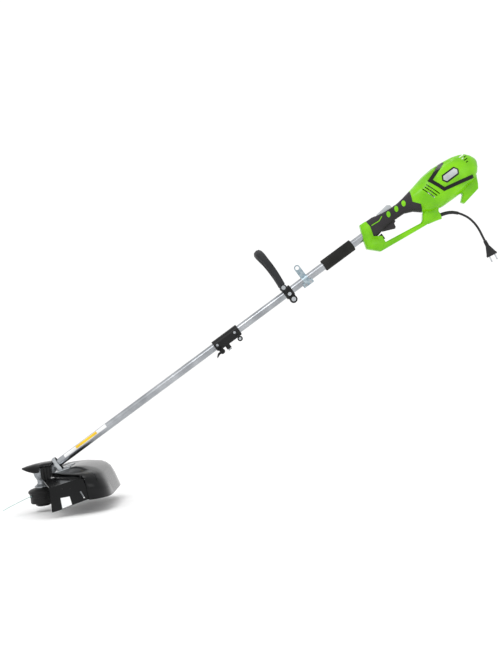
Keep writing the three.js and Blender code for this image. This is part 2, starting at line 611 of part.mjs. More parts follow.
// ---------- motor housing ----------
const topLine = [[1340, 35], [1384, 34], [1420, 26], [1450, 22.5], [1478, 21], [1505, 24.5], [1530, 29],
  [1556, 34], [1595, 42.5], [1636, 46], [1675, 42.5], [1711, 37.5], [1741, 27.5], [1760, 14], [1772, -8]];
const bottomLine = [[1340, -34], [1384, -25], [1420, -20.5], [1450, -18.5], [1478, -20], [1505, -32],
  [1530, -54], [1556, -70], [1595, -77], [1636, -77.5], [1675, -77.5], [1711, -74], [1741, -62],
  [1760, -46], [1772, -26]];
const halfWidth = [[1340, 20], [1384, 19.5], [1450, 19.5], [1478, 22], [1505, 30], [1530, 40], [1556, 48],
  [1595, 54], [1636, 55.5], [1675, 54], [1711, 48], [1741, 37], [1760, 24], [1772, 9]];
const housingStations = [1340, 1384, 1420, 1450, 1478, 1505, 1530, 1556, 1595, 1636, 1675, 1711, 1735,
  1752, 1764, 1772];

function bodyLoft(inset, from = 0, to = 2000) {
  const sides = 16;
  const rounding = 2 / 2.4;
  const rings = housingStations.filter((x) => x >= from && x <= to).map((x) => {
    const [top, bottom] = [along(topLine, x) - inset, along(bottomLine, x) + inset];
    const wide = Math.max(along(halfWidth, x) - inset, 2);
    return Array.from({ length: sides }, (_, j) => {
      const turn = (j / sides) * 2 * Math.PI;
      const [c, s] = [Math.cos(turn), Math.sin(turn)];
      return new THREE.Vector3(x, wide * Math.sign(c) * Math.abs(c) ** rounding,
        (top + bottom) / 2 + ((top - bottom) / 2) * Math.sign(s) * Math.abs(s) ** rounding);
    });
  });
  return loft(rings);
}

const gripRegion = [[1356.5, 70], [1361, 12], [1357, -1], [1351, -19], [1377, -36.5], [1383, -52],
  [1526, -52], [1535, -27], [1518, -5], [1528, 17], [1556, 70]];
const cordExit = { x: 1571, z: -94.5, drop: 13.5 };
const atCordExit = (body) =>
  body.translate([-cordExit.x, 0, 0]).rotate([0, cordExit.drop, 0]).translate([cordExit.x, 0, cordExit.z]);
const triggerPivot = [1389, -17];
const leverPivot = [1404, 21];

function ribbon(points, width) {
  const left = [];
  const right = [];
  points.forEach((p, i) => {
    const before = points[Math.max(i - 1, 0)];
    const after = points[Math.min(i + 1, points.length - 1)];
    const unit = (a, b) => new THREE.Vector2(b[0] - a[0], b[1] - a[1]).normalize();
    const d0 = i > 0 ? unit(before, p) : unit(p, after);
    const d1 = i + 1 < points.length ? unit(p, after) : unit(before, p);
    const middle = d0.clone().add(d1).normalize();
    const stretch = width / 2 / Math.max(middle.dot(d0), 0.4);
    left.push([p[0] - middle.y * stretch, p[1] + middle.x * stretch]);
    right.unshift([p[0] + middle.y * stretch, p[1] - middle.x * stretch]);
  });
  return [...left, ...right];
}

function grown(points, by) {
  const centre = points.reduce((sum, p) => [sum[0] + p[0] / points.length, sum[1] + p[1] / points.length],
    [0, 0]);
  return points.map(([x, z]) => [x + Math.sign(x - centre[0]) * by, z + Math.sign(z - centre[1]) * by]);
}

function motorHousing() {
  const loopFrame = [[1309, -40], [1318, -8], [1337, 37], [1384, 33], [1386, -20], [1376, -36], [1372, -58],
    [1505, -77.5], [1512, -74], [1526, -56], [1560, -40], [1590, -55], [1573, -81], [1567, -107],
    [1524, -94], [1492, -91], [1342, -74]];
  const nose = [[1309, -40], [1318, -8], [1337, 37], [1384, 34], [1386, -22], [1374, -40], [1372, -60],
    [1342, -74]];
  const hook = [[1669, -60], [1669, -84], [1650, -101], [1657, -111], [1722, -99], [1731, -86],
    [1746, -56], [1740, -40], [1700, -40]];
  const cordBoss = atCordExit(bar(12.5, 1524, cordExit.x, 'x', 20));
  const outside = join(bodyLoft(0), slab(loopFrame, -15, 15, 4), slab(hook, -14, 14, 4), cordBoss,
    slab(nose, -20, 20, 6));
  const pocket = bodyLoft(housingWall + skin + gap, 1500, 1767);
  const trimLine = (extra) => ribbon(
    [[1676 + extra, 62], [1671, 40], [1603, 16], [1623, -34], [1728 + extra, -56]], trimWidth + 2 * extra);
  const core = bodyLoft(skin + gap);
  const innerSkin = bodyLoft(skin);
  const regionCut = (outline) => cut(slab(grown(outline, gap), -80, 80), core);
  const slots = [0, 1, 2].map((i) =>
    slab(ribbon([[1585 - 9 * i, 13 - 2 * i], [1602 - 10 * i, -37]], 3.4), -80, 80));
  const rearVents = [0, 1, 2, 3, 4].map((i) =>
    slab(ribbon([[1728 + 2 * i, 21 - 9 * i], [1752 - i * i, 21 - 9 * i]], 3.2), -80, 80));
  const [tx, tz] = triggerPivot;
  const [lx] = leverPivot;
  const hollow = [
    pocket,
    bar(tubeFit, 1290, seatedTubeEnd + 2, 'x', 20),
    bar(rod + 3, seatedTubeEnd, 1512, 'x', 12),
    block([tx - 46, -9, -50], [tx - 1, 9, -13]),
    block([tx - 12, -8, -60], [tx + 56, 8, -6]),
    block([lx - 8, -8, 5], [lx + 58, 8, 60]),
    atCordExit(bar(6.9, 1500, 1600, 'x', 16)),
  ];
  const body = cut(outside, ...hollow, regionCut(gripRegion), cut(slab(trimLine(gap), -80, 80), core),
    ...slots, ...rearVents);
  const nearSide = block([1200, -90, -200], [1900, -gap / 2, 200]);
  const farSide = block([1200, gap / 2, -200], [1900, 90, 200]);
  const layer = (outline, lift = 0) => cut(bodyLoft(-lift).intersect(slab(outline, -80, 80)), innerSkin);
  const grips = cut(layer(gripRegion), ...hollow.slice(1, 6));
  const trims = layer(trimLine(0));
  for (const [side, keep] of [['near', nearSide], ['far', farSide]]) {
    place(rearUnit, `housing_${side}`, largest(body.intersect(keep)), green);
    place(rearUnit, `grip_${side}`, largest(grips.intersect(keep)), rubber);
    place(rearUnit, `trim_${side}`, largest(trims.intersect(keep)), blackPlastic);
  }
}

function largest(body) {
  const parts = body.decompose();
  return parts.reduce((best, part) => (part.volume() > best.volume() ? part : best));
}

// ---------- trigger, lock-off, switch ----------
function controls() {
  const trigger = [[-5, 2], [-3, -8], [36, -24.5], [41, -21], [43, -10], [52, -5], [51, 1], [6, 4]];
  const from = (pivot, outline) => outline.map(([x, z]) => [pivot[0] + x, pivot[1] + z]);
  place(rearUnit, 'trigger', slab(from(triggerPivot, trigger), -7, 7, 1.2), rubber);
  const lever = [[-6, -2], [-5, 8], [0, 11], [44, 16.5], [53, 10], [54, -3], [46, -5], [6, -6]];
  place(rearUnit, 'lock_off_lever', slab(from(leverPivot, lever), -6.5, 6.5, 1.2), greyLever);
  place(rearUnit, 'power_switch', block([1345, -8, -48], [1379, 8, -28]), blackPlastic);
}

// ---------- motor ----------
function motorPieces() {
  const { start, end, radius } = motor;
  const armature = 22;
  const shaftRadius = 5;
  place(rearUnit, 'motor_stator', ring(armature + 1.5, radius, start, end, 'x', 20), steel);
  const joint = start - 66;
  const socket = cut(bar(8, joint - 14, start - 40, 'x', 16),
    bar(rod + gap, joint - 20, joint + 2, 'x', 16));
  const rotor = join(bar(armature, start + 2, end - 2, 'x', 18),
    bar(shaftRadius, start - 46, end + 44, 'x', 16), bar(13, end + 6, end + 20, 'x', 20), socket);
  place(rearUnit, 'motor_rotor', rotor, copper);
  const fanBore = bar(shaftRadius + gap, start - 60, start, 'x', 16);
  place(rearUnit, 'cooling_fan', cut(fanWheel(start - 24, 28), fanBore), blackPlastic);
  const frontBearing = ring(shaftRadius + gap, 11, start - 38, start - 30, 'x', 20);
  place(rearUnit, 'front_motor_bearing', frontBearing, steel);
  place(rearUnit, 'rear_motor_bearing', ring(shaftRadius + gap, 11, end + 34, end + 42, 'x', 20), steel);
  const carrier = join(bar(18, end + 8, end + 18, 'x', 20), block([end + 8, -8, -27], [end + 18, 8, 27]));
  place(rearUnit, 'brush_carrier', cut(carrier, bar(13 + gap, end, end + 30, 'x', 20)), blackPlastic);
}

function fanWheel(at, radius) {
  const blades = 7;
  const vanes = Array.from({ length: blades }, (_, i) =>
    block([at, -1, 9], [at + 10, 1, radius]).rotate([(360 / blades) * i, 0, 0]));
  return join(bar(11, at, at + 12, 'x', 20), bar(radius, at + 9, at + 12, 'x', 18), ...vanes);
}

// ---------- cord and plug ----------
const cordPath = [[1574, -95.3], [1590, -100.5], [1608, -110.5], [1623, -125], [1634, -142],
  [1641.5, -159], [1645.5, -178], [1646.5, -197], [1645, -215], [1642, -232], [1639, -249.5]];

function cordAndPlug() {
  const toSpace = ([x, z]) => new THREE.Vector3(x, 0, z);
  const reliefEnd = 3;
  const reliefPoints = [[1562, -92.3], ...cordPath.slice(0, reliefEnd + 1)].map(toSpace);
  const reliefPath = new THREE.CatmullRomCurve3(reliefPoints, false, 'centripetal');
  const steps = 7;
  const sides = 10;
  const rings = [];
  for (let i = 0; i <= steps; i += 1) {
    const centre = reliefPath.getPointAt(i / steps);
    const tangent = reliefPath.getTangentAt(i / steps);
    const radius = 6.5 - 1.3 * (i / steps);
    const up = new THREE.Vector3(-tangent.z, 0, tangent.x);
    rings.push(Array.from({ length: sides }, (_, j) => centre.clone()
      .addScaledVector(up, radius * Math.cos((j / sides) * 2 * Math.PI))
      .add(new THREE.Vector3(0, radius * Math.sin((j / sides) * 2 * Math.PI), 0))));
  }
  const cordCurve = cordPath.map(toSpace);
  const bore = tubeAlong(cordCurve, cordRadius + gap, 8, 20);
  place(rearUnit, 'strain_relief', cut(loft(rings), bore), rubber);
  place(rearUnit, 'power_cord', tubeAlong(cordCurve, cordRadius, 8, 20), rubber);
  const plugGroup = new THREE.Group();
  const [end, before] = [cordPath.at(-1), cordPath.at(-2)];
  plugGroup.position.set(end[0], 0, end[1]);
  plugGroup.rotation.y = Math.atan2(end[0] - before[0], end[1] - before[1]);
  rearUnit.add(plugGroup);
  const sections = [[gap, 5.6, 5.6], [20, 6.4, 6.2], [26, 9, 7.5], [38, 13.5, 8.4], [46, 16.5, 8.6],
    [48, 18.5, 9.2], [plug.face, 18.5, 9.2]];
  const plugRings = sections.map(([z, wide, deep]) => Array.from({ length: 16 }, (_, j) => {
    const turn = (j / 16) * 2 * Math.PI;
    const [c, s] = [Math.cos(turn), Math.sin(turn)];
    return new THREE.Vector3(wide * Math.sign(c) * Math.abs(c) ** 0.8,
      deep * Math.sign(s) * Math.abs(s) ** 0.8, z);
  }));
  const pinSpots = [-plug.pinSpacing / 2, plug.pinSpacing / 2];
  const pinFoot = plug.face - 9.5;
  const sockets = pinSpots.map((x) =>
    bar(plug.pinRadius + gap, pinFoot - 1, plug.face + 5, 'z', 12).translate([x, 0, 0]));
  place(plugGroup, 'plug_body', cut(loft(plugRings), ...sockets), rubber);
  pinSpots.forEach((x, i) => {
    const blade = bar(plug.pinRadius, pinFoot, plug.face + plug.pinReach, 'z', 12);
    place(plugGroup, `plug_pin_${i + 1}`, blade.translate([x, 0, 0]), steel);
  });
}

shaftTubes();
driveShafts();
couplerPieces();
handlePieces();
harnessEye();
place(shaft, 'foam_sleeve', ring(tubeFit, foam.radius, foam.start, foam.end, 'x', 20), foamRubber);
gearboxHousing();
gearTrain();
lineHead();
debrisGuard();
guardExtension();
place(headGroup, 'guard_visor', visor(), blackGloss);
guardBlocks();
guardStrap();
motorHousing();
controls();
motorPieces();
cordAndPlug();

const trimmer = new THREE.Group();
trimmer.add(shaft, headGroup);
export default trimmer;
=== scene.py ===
import json
import math
import bpy
import bmesh
from mathutils import Matrix, Vector


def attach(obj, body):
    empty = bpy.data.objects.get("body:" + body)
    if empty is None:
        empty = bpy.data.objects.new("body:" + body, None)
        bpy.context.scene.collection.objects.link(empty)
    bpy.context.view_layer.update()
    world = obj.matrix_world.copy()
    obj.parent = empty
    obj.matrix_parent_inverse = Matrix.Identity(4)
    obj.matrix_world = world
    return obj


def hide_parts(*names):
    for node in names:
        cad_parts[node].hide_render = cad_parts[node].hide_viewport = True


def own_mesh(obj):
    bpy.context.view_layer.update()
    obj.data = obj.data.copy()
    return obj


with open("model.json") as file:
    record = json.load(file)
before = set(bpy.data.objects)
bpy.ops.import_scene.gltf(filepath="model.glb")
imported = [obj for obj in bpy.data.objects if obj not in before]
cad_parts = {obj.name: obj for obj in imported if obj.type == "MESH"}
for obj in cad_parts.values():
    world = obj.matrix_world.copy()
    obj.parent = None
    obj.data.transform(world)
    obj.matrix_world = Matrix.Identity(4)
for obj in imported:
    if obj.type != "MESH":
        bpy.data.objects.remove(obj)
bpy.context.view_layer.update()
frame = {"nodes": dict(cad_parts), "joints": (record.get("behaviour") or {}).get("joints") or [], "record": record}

nodes = frame["nodes"]
joints = {joint["name"]: joint for joint in frame["joints"]}
headAt = Vector(joints["head_spin"]["pos_m"])            # where the shaft crosses the head's spin axis
shaftAlong = Vector(joints["motor_spin"]["axis"])
shaftUp = Vector((-shaftAlong.z, 0, shaftAlong.x))
shaftTilt = math.atan2(shaftAlong.z, shaftAlong.x)
mm = 0.001
sides = {"near": -1, "far": 1}


def onShaft(along, rise, across=0):      # millimetres up the shaft, square to it, and across
    return headAt + shaftAlong * along * mm + shaftUp * rise * mm + Vector((0, across * mm, 0))


def onHead(x, y, z):                     # millimetres from where the shaft crosses the spin axis
    return headAt + Vector((x, y, z)) * mm


def outline(points):
    return [onShaft(along, rise) for along, rise in points]


camera = {"lens": 62, "sensor": 36, "distance": 3.8, "aim": (-0.176, 0, -0.200), "roll": -6.6}
lens = bpy.data.cameras.new("camera")
lens.sensor_fit = "VERTICAL"
lens.sensor_height = camera["sensor"]
lens.lens = camera["lens"]
eye = bpy.data.objects.new("camera", lens)
bpy.context.scene.collection.objects.link(eye)
stand = Matrix.Translation(Vector(camera["aim"]) - Vector((0, camera["distance"], 0)))
level = Matrix.Rotation(math.radians(90), 4, "X")
eye.matrix_world = stand @ level @ Matrix.Rotation(math.radians(camera["roll"]), 4, "Z")
bpy.context.scene.camera = eye
bpy.context.scene.view_settings.view_transform = "Standard"      # plain colours, with no film curve
print("camera set")


def linear(code):                        # sRGB hex to linear colour
    values = [int(code[i:i + 2], 16) / 255 for i in (0, 2, 4)]
    return [v / 12.92 if v <= 0.04045 else ((v + 0.055) / 1.055) ** 2.4 for v in values] + [1]


def addNode(tree, kind, values=None, links=None):
    node = tree.nodes.new(kind)
    for key, value in (values or {}).items():
        node.inputs[key].default_value = value
    for key, socket in (links or {}).items():
        tree.links.new(socket, node.inputs[key])
    return node


# grain, cloud, cells and depth are in millimetres; what a finish leaves out is taken from here
usual = {
    "cloud": 60, "roughSpread": 0.06, "relief": 0.3, "depth": 0.1, "gloss": 0.5, "metal": 0, "turn": 0,
    "stretch": (1, 1, 1), "cells": 0,
}
noise = {"grainDetail": 4, "grainRoughness": 0.6, "cloudDetail": 3, "darkUpTo": 0.35, "lightFrom": 0.68}


def surface(name, look):
    look = {**usual, **look}
    material = bpy.data.materials.new(name)
    material.use_nodes = True
    tree = material.node_tree
    tree.nodes.clear()
    place = addNode(tree, "ShaderNodeTexCoord").outputs["Object"]
    turned = addNode(tree, "ShaderNodeMapping", {"Rotation": (0, look["turn"], 0)}, {"Vector": place})
    drawn = addNode(tree, "ShaderNodeMapping", {"Scale": look["stretch"]},
                    {"Vector": turned.outputs["Vector"]})
    grainValues = {"Scale": 1 / (look["grain"] * mm), "Detail": noise["grainDetail"],
                   "Roughness": noise["grainRoughness"]}
    grain = addNode(tree, "ShaderNodeTexNoise", grainValues, {"Vector": drawn.outputs["Vector"]})
    cloudValues = {"Scale": 1 / (look["cloud"] * mm), "Detail": noise["cloudDetail"]}
    cloud = addNode(tree, "ShaderNodeTexNoise", cloudValues, {"Vector": place})
    tone = addNode(tree, "ShaderNodeValToRGB", None, {"Fac": cloud.outputs["Fac"]})
    dark, light = tone.color_ramp.elements
    dark.position = noise["darkUpTo"]
    light.position = noise["lightFrom"]
    dark.color = linear(look["dark"])
    light.color = linear(look["light"])
    roughValues = {"To Min": look["rough"] - look["roughSpread"],
                   "To Max": look["rough"] + look["roughSpread"]}
    rough = addNode(tree, "ShaderNodeMapRange", roughValues, {"Value": grain.outputs["Fac"]})
    height = grain.outputs["Fac"]
    if look["cells"]:                    # open cells or pebbles, as on foam and grip rubber
        cells = addNode(tree, "ShaderNodeTexVoronoi", {"Scale": 1 / (look["cells"] * mm)}, {"Vector": place})
        height = cells.outputs["Distance"]
    reliefValues = {"Strength": look["relief"], "Distance": look["depth"] * mm}
    relief = addNode(tree, "ShaderNodeBump", reliefValues, {"Height": height})
    shaderLinks = {"Base Color": tone.outputs["Color"], "Roughness": rough.outputs["Result"],
                   "Normal": relief.outputs["Normal"]}
    shader = addNode(tree, "ShaderNodeBsdfPrincipled", {
        "Metallic": look["metal"], "Specular IOR Level": look["gloss"]}, shaderLinks)
    addNode(tree, "ShaderNodeOutputMaterial", None, {"Surface": shader.outputs["BSDF"]})
    return material


finishes = {
    # ABS from a spark-eroded mould: bright lime, with a fine grain that softens the highlight
    "limeAbs": surface("lime_abs_moulded", {
        "dark": "68B400", "light": "7ECC00", "grain": 0.9, "rough": 0.3, "gloss": 0.3, "depth": 0.05,
        "relief": 0.25}),
    # soft rubber moulded over the grip: pebbled and dull, drawn a little coarse so that it shows
    "gripRubber": surface("grip_tpe_overmoulded", {
        "dark": "232123", "light": "2D2A2D", "grain": 1.5, "cells": 1.6, "rough": 0.6, "gloss": 0.3,
        "depth": 0.18, "relief": 0.5}),
    # ABS from a polished mould: near black, with clean narrow highlights
    "trimAbs": surface("black_abs_polished", {
        "dark": "0A0A0B", "light": "121213", "grain": 1.2, "rough": 0.24, "gloss": 0.25}),
    # glass-filled nylon: dark with a faint mottle and a dull sheen
    "blackNylon": surface("black_nylon_moulded", {
        "dark": "0C0C0D", "light": "171718", "grain": 1.0, "rough": 0.42, "gloss": 0.25, "depth": 0.08}),
    # polypropylene from a polished mould: black, with long bright streaks where it curves
    "guardPp": surface("black_polypropylene_polished", {
        "dark": "060708", "light": "0D0E10", "grain": 6, "rough": 0.16, "roughSpread": 0.04, "gloss": 0.22,
        "depth": 0.12, "relief": 0.12, "cloud": 90}),
    # rubber moulded round a steel core: dark grey and matt
    "handleRubber": surface("handle_rubber_moulded", {
        "dark": "1D1E20", "light": "292A2D", "grain": 1.2, "cells": 1.4, "rough": 0.56, "gloss": 0.3,
        "depth": 0.12}),
    # nitrile foam sleeve, cut to length: open cells, drawn a little coarse so that they show
    "foam": surface("nbr_foam_cut", {
        "dark": "1B1B1A", "light": "282826", "grain": 1.6, "cells": 2.2, "rough": 0.9, "gloss": 0.2,
        "depth": 0.5, "relief": 0.8}),
    # cable sheath pressed from soft PVC: black with a low, even sheen
    "cordRubber": surface("pvc_cable_extruded", {
        "dark": "101011", "light": "1B1B1D", "grain": 1.4, "rough": 0.46, "gloss": 0.35}),
    # drawn tube: fine lines along it that stretch the highlight
    "drawnTube": surface("aluminium_drawn", {
        "dark": "909397", "light": "AEB1B5", "grain": 1.5, "rough": 0.32, "metal": 1, "turn": shaftTilt,
        "stretch": (0.04, 1, 1), "depth": 0.04}),
    # die-cast gearbox: a pale, slightly pitted skin
    "castMetal": surface("aluminium_die_cast", {
        "dark": "8A8E92", "light": "ADB0B4", "grain": 1.2, "rough": 0.48, "metal": 1, "depth": 0.15,
        "relief": 0.5, "cloud": 18}),
    # turned and ground steel: bright and even
    "steel": surface("steel_machined", {
        "dark": "9A9EA2", "light": "BDC1C4", "grain": 0.8, "rough": 0.28, "metal": 1}),
    # zinc plating: bluish and cloudy
    "zinc": surface("steel_zinc_plated", {
        "dark": "8496A0", "light": "B4C2C8", "grain": 1.5, "rough": 0.33, "metal": 1, "cloud": 9}),
    # enamelled copper windings: warm brown with a fine ripple
    "copper": surface("copper_wound", {
        "dark": "8E4F2A", "light": "BF7A47", "grain": 0.7, "rough": 0.38, "metal": 1}),
    # light grey ABS for the lock-off lever: plain and slightly satin
    "greyAbs": surface("light_grey_abs_moulded", {
        "dark": "A6AAAD", "light": "BFC3C5", "grain": 1.0, "rough": 0.36}),
    # nylon line: pale green, smooth and a little glossy
    "nylonLine": surface("nylon_line_extruded", {
        "dark": "7FB0A6", "light": "9CCBC1", "grain": 0.6, "rough": 0.3, "depth": 0.02}),
    # polyester label films: flat colour with a faint unevenness and a soft sheen
    "whiteFilm": surface("white_polyester_film", {
        "dark": "DFE1E1", "light": "EFF0F0", "grain": 2, "rough": 0.4, "depth": 0.02}),
    "yellowFilm": surface("yellow_polyester_film", {
        "dark": "E0B400", "light": "F0C912", "grain": 2, "rough": 0.4, "depth": 0.02}),
    # metallised film on the badge: grey silver, less sharp than bare metal
    "silverFilm": surface("silver_polyester_film", {
        "dark": "9FA4A8", "light": "C4C8CB", "grain": 1.4, "rough": 0.34, "metal": 0.6, "depth": 0.02}),
}
slotFinish = {
    "housing_green": "limeAbs", "grip_rubber": "gripRubber", "black_trim": "trimAbs",
    "black_plastic": "blackNylon", "guard_gloss": "guardPp", "handle_rubber": "handleRubber",
    "foam": "foam", "cord_rubber": "cordRubber", "tube_aluminium": "drawnTube",
    "cast_aluminium": "castMetal", "steel": "steel", "zinc_plate": "zinc", "rotor_copper": "copper",
    "lever_grey": "greyAbs", "nylon_line": "nylonLine",
}
slotOf = {part["node"]: part["material_slot"] for part in frame["record"]["subparts"]}
bodies = frame["record"]["behaviour"]["bodies"]
bodyOf = {node: body for body, members in bodies.items() for node in members}
for node, piece in nodes.items():
    piece.data.materials.clear()
    piece.data.materials.append(finishes[slotFinish[slotOf[node]]])
print("finishes made:", len(finishes))


def alone(piece):
    bpy.ops.object.select_all(action="DESELECT")
    piece.select_set(True)
    bpy.context.view_layer.objects.active = piece


def settle(piece, name, finish, body, angle):      # edges past the angle, in degrees, stay sharp
    alone(piece)
    for modifier in list(piece.modifiers):
        bpy.ops.object.modifier_apply(modifier=modifier.name)
    bpy.ops.object.transform_apply(location=True, rotation=True, scale=True)
    bpy.ops.object.shade_smooth_by_angle(angle=math.radians(angle))
    piece.name = name
    piece.data.name = name
    piece.data.materials.clear()
    piece.data.materials.append(finishes[finish])
    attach(piece, body)


cleaning = {"merge": 0.01, "flat": 0.4}                  # millimetres, degrees
rounding = {"segments": 3, "angle": 60}


def shellOf(node, angle, rounded=0):     # a smooth-shaded copy that stands for a frame piece
    shell = bpy.data.objects.new(f"{node}_shell", nodes[node].data.copy())
    bpy.context.scene.collection.objects.link(shell)
    alone(shell)
    bpy.ops.object.mode_set(mode="EDIT")
    bpy.ops.mesh.select_all(action="SELECT")
    bpy.ops.mesh.remove_doubles(threshold=cleaning["merge"] * mm)
    bpy.ops.mesh.dissolve_limited(angle_limit=math.radians(cleaning["flat"]))
    bpy.ops.object.mode_set(mode="OBJECT")
    if rounded:
        bevel = shell.modifiers.new("rounded", "BEVEL")
        bevel.width = rounded * mm
        bevel.segments = rounding["segments"]
        bevel.limit_method = "ANGLE"
        bevel.angle_limit = math.radians(rounding["angle"])
    slot = slotOf[node]
    settle(shell, f"{node}_shell", slotFinish[slot], bodyOf[node], angle)
    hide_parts(node)
    return shell


cordEnds = {"strain_relief": 50, "plug_body": 45, "plug_pin_1": 40, "plug_pin_2": 40}
made = {node: shellOf(node, angle) for node, angle in cordEnds.items()}
powerCord = {
    "route": [(1574, -95.3), (1590, -100.5), (1608, -110.5), (1623, -125), (1634, -142), (1641.5, -159),
              (1645.5, -178), (1646.5, -197), (1645, -215), (1642, -232), (1639, -249.5)],
    "steps": 3, "diameter": 7.5, "length": 189,
}
cuttingLine = {
    "route": [(0, 0, 0), (12, 0, -1.5), (35, 1, -6.5), (60, 2.5, -12.5), (86, 4.5, -19), (110, 7, -26)],
    "steps": 4, "start": 40, "height": -60, "turns": (220, 400), "diameter": 2, "length": 115,
}


def between(p, q, start, end, at):       # the point on the line through p and q at a knot value
    return p * ((end - at) / (end - start)) + q * ((at - start) / (end - start))


def smoothRoute(points, steps):          # centripetal curve through the points
    ends = [points[0] * 2 - points[1]] + points + [points[-1] * 2 - points[-2]]
    route = []
    for i in range(1, len(ends) - 2):
        p = ends[i - 1:i + 3]
        t = [0]
        for here, there in zip(p, p[1:]):
            t.append(t[-1] + math.sqrt((there - here).length))
        for k in range(steps):
            u = t[1] + (t[2] - t[1]) * k / steps
            a = [between(p[j], p[j + 1], t[j], t[j + 1], u) for j in range(3)]
            b = [between(a[j], a[j + 1], t[j], t[j + 2], u) for j in range(2)]
            route.append(between(b[0], b[1], t[1], t[2], u))
    return route + [points[-1]]


def routeLength(route):
    return sum((there - here).length for here, there in zip(route, route[1:]))


def lineCurve(name, route, diameter, finish, body):
    curve = bpy.data.curves.new(name, "CURVE")
    curve.dimensions = "3D"
    curve.bevel_depth = diameter / 2 * mm
    curve.bevel_resolution = 5
    curve.use_fill_caps = True
    spline = curve.splines.new("POLY")
    spline.points.add(len(route) - 1)
    for point, at in zip(spline.points, route):
        point.co = (*at, 1)
    spline.use_smooth = True
    piece = bpy.data.objects.new(name, curve)
    bpy.context.scene.collection.objects.link(piece)
    curve.materials.append(finishes[finish])
    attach(piece, body)
    return piece


cordRoute = smoothRoute(outline(powerCord["route"]), powerCord["steps"])
cord = lineCurve("power_cord_flex", cordRoute, powerCord["diameter"], "cordRubber", "upper_unit")
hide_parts("power_cord")

drawnLine = smoothRoute([Vector(point) for point in cuttingLine["route"]], cuttingLine["steps"])
grow = cuttingLine["length"] / routeLength(drawnLine)    # brings the drawn route to the line's length
for number, turn in enumerate(cuttingLine["turns"], 1):
    spin = Matrix.Rotation(math.radians(turn), 3, "Z")
    points = []
    for x, y, z in cuttingLine["route"]:
        point = Vector((cuttingLine["start"] + x * grow, y * grow, cuttingLine["height"] + z * grow))
        points.append(headAt + (spin @ point) * mm)
    route = smoothRoute(points, cuttingLine["steps"])
    line = lineCurve(f"trimmer_line_{number}", route, cuttingLine["diameter"], "nylonLine", "line_head")
    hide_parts(f"cutting_line_{number}")
print("cords laid")


shells = {                               # node: the angle past which an edge stays sharp
    "housing_near": 38, "housing_far": 38, "grip_near": 38, "grip_far": 38, "trim_near": 38, "trim_far": 38,
    "loop_handle": 50, "lower_tube": 40, "upper_tube": 40, "coupler_body": 35, "coupler_lever": 30,
    "handle_clamp_near": 30, "handle_clamp_far": 30, "gearbox_housing": 32, "line_head_housing": 28,
    "line_head_cap": 28, "bump_knob": 28, "debris_guard": 42, "guard_extension": 35, "guard_visor": 40,
    "guard_block_near": 30, "guard_block_far": 30, "guard_strap": 35, "harness_eye_bracket": 35,
    "trigger": 30, "lock_off_lever": 30, "release_pin": 30, "clamp_bolt": 30, "pivot_bolt": 30,
    "coupler_bolt": 30,
}
for node, angle in shells.items():
    made[node] = shellOf(node, angle)
foamSleeve = {"sharp": 70, "rounded": 3, "fill": 1.0}
made["foam_sleeve"] = shellOf("foam_sleeve", foamSleeve["sharp"], foamSleeve["rounded"])
bumpSpring = {"sharp": 60, "travel": 8}   # travel is how far the knob is pressed, in millimetres
made["bump_spring"] = shellOf("bump_spring", bumpSpring["sharp"])
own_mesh(made["bump_spring"])
print("shells made:", len(made))


screwShape = {                           # the last five are parts of the radius or of the height
    "sides": 28, "sharp": 30, "bevel": 0.16, "crown": 0.22, "rim": 0.38, "lip": 0.04, "socket": 0.6,
}
faceOn = 0.9                             # how squarely a face looks along its axis to be picked


def screwHead(name, at, radius, height, finish, body):
    bpy.ops.object.select_all(action="DESELECT")
    bpy.ops.mesh.primitive_cylinder_add(vertices=screwShape["sides"], radius=radius * mm, depth=height * mm,
                                        location=at, rotation=(math.radians(90), 0, 0))
    screw = bpy.context.object
    bpy.ops.object.transform_apply(location=True, rotation=True, scale=True)
    bpy.ops.object.mode_set(mode="EDIT")
    bpy.ops.mesh.select_all(action="DESELECT")
    bpy.ops.mesh.select_mode(type="FACE")
    mesh = bmesh.from_edit_mesh(screw.data)
    for face in mesh.faces:
        face.select = face.normal.y < -faceOn
    bmesh.update_edit_mesh(screw.data)
    bpy.ops.mesh.inset(thickness=radius * screwShape["bevel"] * mm)
    bpy.ops.transform.translate(value=(0, -height * screwShape["crown"] * mm, 0))
    bpy.ops.mesh.inset(thickness=radius * screwShape["rim"] * mm)
    bpy.ops.mesh.inset(thickness=radius * screwShape["lip"] * mm)
    bpy.ops.transform.translate(value=(0, height * screwShape["socket"] * mm, 0))
    bpy.ops.object.mode_set(mode="OBJECT")
    settle(screw, name, finish, body, screwShape["sharp"])


steelScrews = {                          # where each head sits, and its radius
    "coupler_screw_front": {"at": onShaft(726, -1, -18.4), "radius": 4.2},
    "coupler_screw_rear": {"at": onShaft(796, -1, -18.4), "radius": 4.2},
    "handle_locating_screw": {"at": onShaft(1017, -7, -18.6), "radius": 6},
    "harness_bolt_front": {"at": onShaft(1079, -16.5, -15.6), "radius": 4.5},
    "harness_bolt_rear": {"at": onShaft(1097, -16.5, -15.6), "radius": 4.5},
}
steelScrewHeight = 2.2
for name, screw in steelScrews.items():
    screwHead(name, screw["at"], screw["radius"], steelScrewHeight, "steel", "upper_unit")
extensionScrew = {"places": [(101, -27), (126, -30)], "clear": -400, "radius": 2.8, "height": 1.6}
for number, (x, z) in enumerate(extensionScrew["places"], 1):
    start = onHead(x, extensionScrew["clear"], z)
    met, at, normal, face = made["guard_extension"].ray_cast(start, Vector((0, 1, 0)))
    if not met:
        raise RuntimeError(f"extension screw {number} meets no surface")
    screwHead(f"extension_screw_{number}", at, extensionScrew["radius"], extensionScrew["height"],
              "blackNylon", "lower_unit")
print("screws made")


film = {"cuts": 6, "merge": 0.001, "stand": 300, "reach": 400, "gap": 0.15, "sharp": 40}


